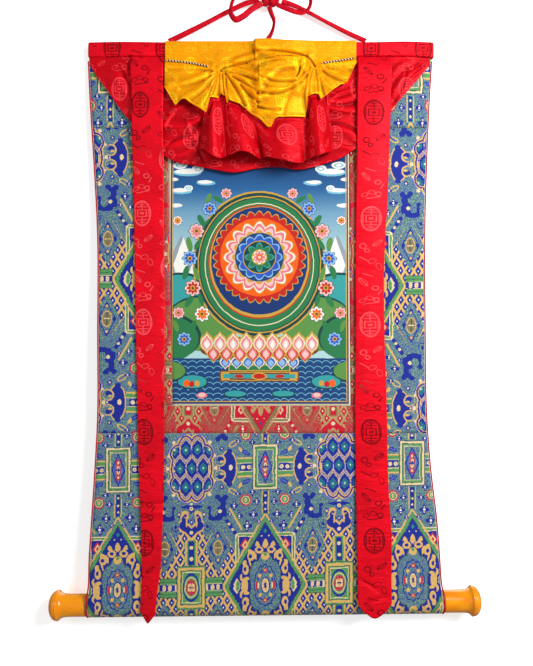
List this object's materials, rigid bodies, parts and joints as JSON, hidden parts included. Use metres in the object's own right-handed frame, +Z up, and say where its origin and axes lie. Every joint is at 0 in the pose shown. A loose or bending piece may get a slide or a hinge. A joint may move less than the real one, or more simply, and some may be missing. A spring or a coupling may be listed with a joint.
{
  "type": "thangka scroll painting with its roller and hanging tie",
  "caption": "Painting on cloth in a pieced brocade mount, with a gathered veil, pointed streamers, a heading, a roller with turned knobs, and a hanging tie.",
  "frame": {"origin": "the point that the tie hangs from, where a hook or nail holds it", "axes": "+Z up, +X to the right as one looks at the painting, +Y towards the wall behind it"},
  "size_m": [0.7236, 0.0612, 1.0634],
  "materials": {
    "red_damask": "satin damask with a woven relief",
    "red_silk": "glossy satin damask",
    "yellow_silk": "glossy satin damask",
    "blue_brocade": "woven multicolour brocade with gold thread",
    "red_brocade": "woven multicolour brocade",
    "painted_canvas": "matt painted cotton",
    "twisted_cord": "twisted thread",
    "red_tape": "woven tape",
    "rod_wood": "plain",
    "amber_knob": "polished amber lacquer"
  },
  "bodies": {
    "root": {"heading": "red_damask", "brocade_left": "blue_brocade", "brocade_right": "blue_brocade", "brocade_top": "blue_brocade", "brocade_bottom": "blue_brocade", "border_top": "red_brocade", "border_left": "red_brocade", "border_right": "red_brocade", "border_bottom": "red_brocade", "painting": "painted_canvas", "piping_left": "red_damask", "piping_right": "red_damask", "veil_swag": "red_silk", "veil_flounce": "red_silk", "veil_yellow": "yellow_silk", "gather_cord_left": "twisted_cord", "gather_cord_right": "twisted_cord", "streamer_left": "red_damask", "streamer_right": "red_damask", "roller_rod": "rod_wood", "knob_left": "amber_knob", "knob_right": "amber_knob", "tie_left": "red_tape", "tie_right": "red_tape", "tie_middle": "red_tape", "bow_left": "red_tape", "bow_right": "red_tape", "tie_knot": "red_tape"}
  },
  "joints": []
}
